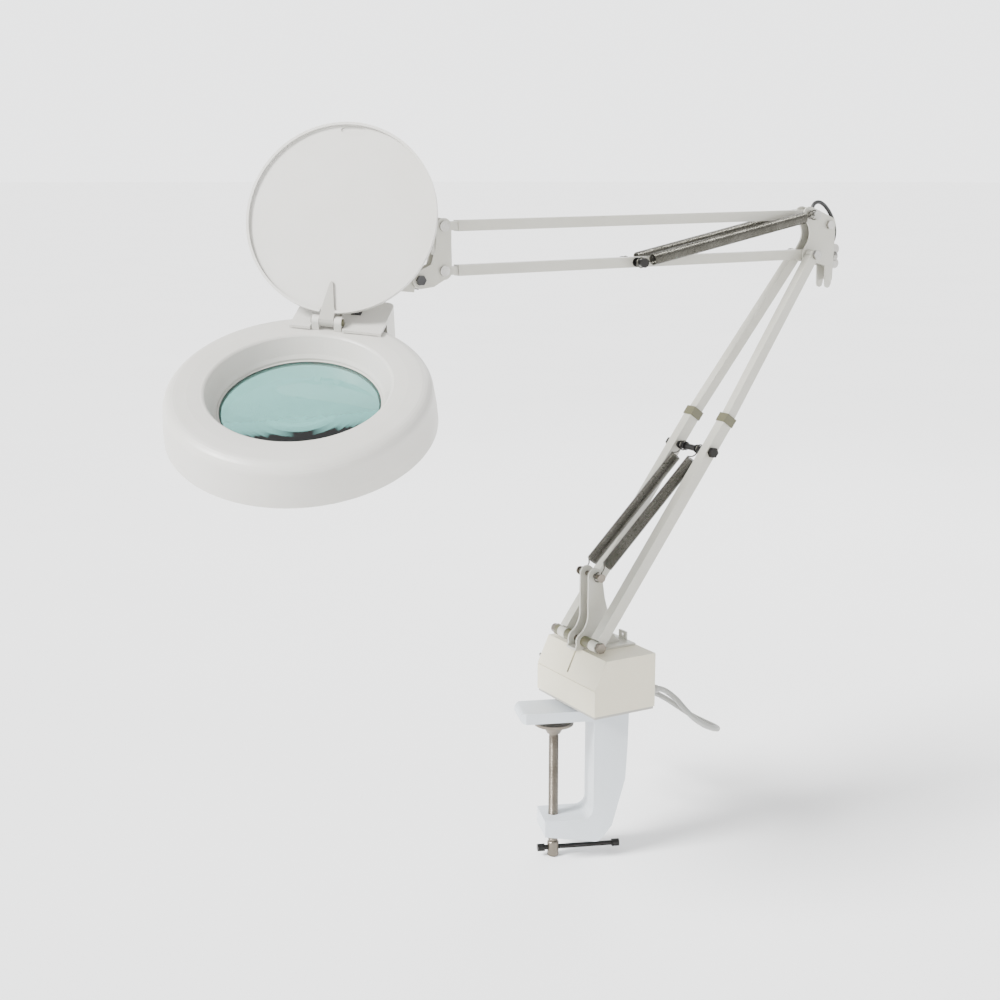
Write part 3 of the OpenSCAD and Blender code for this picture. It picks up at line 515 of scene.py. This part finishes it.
# ---------- clamp screw with its thread ----------
SCREW_HIGH, HEAD_TOP, SCREW_LOW = -16.6, -127, -142.5
PITCH = 1.5
CORE_R, THREAD_DEEP = 4.15, 0.78
COLUMNS, PITCH_ROWS = 32, 6     # points round the screw, and rows to a pitch
RUN_IN, RUN_OUT = 8, 12         # rows over which the thread fades at its ends


def thread():
    """Rings up the screw whose radius follows one helical ridge."""
    rows = int((SCREW_HIGH - HEAD_TOP) / PITCH * PITCH_ROWS)
    verts = []
    for i in range(rows + 1):
        z = HEAD_TOP + i * PITCH / PITCH_ROWS
        fade = min(1, i / RUN_IN, (rows - i) / RUN_OUT)
        for k, (c, s) in enumerate(circle(COLUMNS)):
            phase = (z / PITCH - k / COLUMNS) % 1
            ridge = 1 - abs(2 * phase - 1)
            r = CORE_R + THREAD_DEEP * ridge * fade
            verts.append((r * c, r * s, z))
    return verts, skin(rows + 1, COLUMNS)


screw_head = lathe([(4.6, SCREW_LOW), (5.5, SCREW_LOW + 0.8), (5.6, SCREW_LOW + 1.4),
                    (5.6, HEAD_TOP - 1.6), (5.2, HEAD_TOP - 0.7), (4.2, HEAD_TOP)], 40)
screw_tip = lathe([(3, SCREW_HIGH - 0.5), (3, -8.9), (2.4, -8.2)], 24)
piece("threaded_screw", joined([thread(), screw_head, screw_tip]), "screw_steel", "screw", "clamp_screw",
      place=AT_SCREW)

# ---------- lamp cable over the elbow ----------
CABLE = [(8.1, 0, 43.7), (9.3, 0, 46.6), (12.2, 0, 49.2), (17, 0, 49.8), (22.5, 0, 47.4), (28, 0, 42.6),
         (33, 0, 36), (36.5, 0, 28.5), (38, 0, 20), (36.5, 0, 12.5), (32, 0, 9), (26, 0, 8.5), (18, 0, 8)]
CABLE_R = 1.9
piece("elbow_lead", tube(catmull(CABLE, 6), CABLE_R, 12), "black_rubber", "elbow", "elbow_cable",
      place=AT_ELBOW)

# ---------- metal caps on the ends of the ring tube ----------
TUBE_MID, TUBE_Z = 86, -9
CAP = [(8.9, 12.6), (9.3, 13.6), (12, 13.72), (15, 13.72), (18, 13.7), (18.4, 13.4)]   # (degrees, radius)


def tube_cap(side):
    """A cap bent along the ring, on one side of the gap between the tube's ends."""
    points = [(TUBE_MID * math.cos(rad(side * t)), TUBE_MID * math.sin(rad(side * t)), TUBE_Z)
              for t, _ in CAP]
    return tube(points, [r for _, r in CAP], 32)


piece("tube_caps", joined([tube_cap(-1), tube_cap(1)]), "bright_steel", "head", place=AT_LENS)

# ---------- CAD nodes: materials and softened edges ----------
FINE_EDGE = 0.25    # width of a softened edge, where EDGES has none
EDGES = {
    "clamp_frame": 1.6, "base_cover": 1.0, "arm_bracket": 0.45, "elbow_bracket": 0.4, "link_bracket": 0.35,
    "lower_bar_far": 0.6, "lower_bar_near": 0.6, "upper_rod_far": 0.6, "upper_rod_near": 0.6,
    "top_bar": 0.6, "bottom_bar": 0.6, "bar_ends": 0.5, "bar_collars": 0.3, "head_arm": 1.0,
    "neck_housing": 1.0, "switch_rocker": 0.9, "hinge_block": 0.6, "hinge_leaf": 0.4,
    "lens_cover": 0.5, "head_shell": 0.35, "tilt_knob": 0.6, "swivel_knuckle": 0.5, "swivel_pad": 0.5,
    "tommy_caps": 0.6, "elbow_knob": 0.5, "tube_socket": 0.6, "terminal_block": 0.5,
}
NO_EDGES = ("lens", "ring_tube", "reflector")


def soften(node, width):
    """Round off a CAD node's edges for the light to catch."""
    bevel = node.modifiers.new("edges", "BEVEL")
    bevel.width = width * MM
    bevel.segments = 2
    bevel.limit_method = "ANGLE"
    bevel.angle_limit = rad(35)
    bevel.harden_normals = True
    bevel.use_clamp_overlap = True


for name, node in NODES.items():
    if node.hide_render:
        continue
    node.data.materials.clear()
    node.data.materials.append(MATERIALS[NODE_SLOTS[name]])
    for polygon in node.data.polygons:
        polygon.use_smooth = True
    if name not in NO_EDGES:
        soften(node, EDGES.get(name, FINE_EDGE))

# ---------- floor, in metres ----------
FLOOR_Z, FLOOR_R = SCREW_LOW * MM - 0.0005, 60
floor_shader = Shader("floor_white", (0.93, 0.93, 0.93), 0.85)
floor_shader.colour(floor_shader.noise(2.5, 2), (0.925, 0.925, 0.925), (0.94, 0.94, 0.94))
floor_mesh = bpy.data.meshes.new("floor")
floor_mesh.from_pydata([(FLOOR_R * c, FLOOR_R * s, FLOOR_Z) for c, s in circle(48)], [], [tuple(range(48))])
floor_mesh.materials.append(floor_shader.material)
floor = add("floor", floor_mesh)

# ---------- light, in metres ----------
HORIZON, OVERHEAD = 3.1, 1.1           # strengths of the sky
FADE_FROM, FADE_TO = 0.10, 0.45        # heights, as sines, between which it fades
SKY_COLOUR = (0.985, 0.992, 1, 1)
SUN_TRAVELS = (0.80, 0.02, -0.62)
RIM_AT, RIM_AIM = (1.5, 1.2, 1.6), (0, 0, 0.25)


def studio_sky():
    """Bright along the horizon, where it meets the floor, and softer overhead."""
    world = bpy.data.worlds.new("studio")
    world.use_nodes = True
    sky = world.node_tree
    direction = sky.nodes.new("ShaderNodeTexCoord").outputs["Generated"]
    height = sky.nodes.new("ShaderNodeSeparateXYZ")
    sky.links.new(direction, height.inputs[0])
    fade = sky.nodes.new("ShaderNodeMapRange")
    fade.interpolation_type = "SMOOTHSTEP"
    for socket, value in (("From Min", FADE_FROM), ("From Max", FADE_TO),
                          ("To Min", HORIZON), ("To Max", OVERHEAD)):
        fade.inputs[socket].default_value = value
    sky.links.new(height.outputs["Z"], fade.inputs["Value"])
    sky.links.new(fade.outputs["Result"], sky.nodes["Background"].inputs["Strength"])
    sky.nodes["Background"].inputs["Color"].default_value = SKY_COLOUR
    return world


def light(name, kind, energy, travels):
    """A lamp that shines along a direction."""
    data = bpy.data.lights.new(name, kind)
    data.energy = energy
    made = add(name, data)
    made.rotation_euler = Vector(travels).to_track_quat("-Z", "Y").to_euler()
    return made


bpy.context.scene.world = studio_sky()
key = light("key", "SUN", 9.5, SUN_TRAVELS)
key.data.angle = rad(20)
rim = light("rim", "AREA", 18, Vector(RIM_AIM) - Vector(RIM_AT))
rim.location = RIM_AT
rim.data.shape = "DISK"
rim.data.size = 1.0
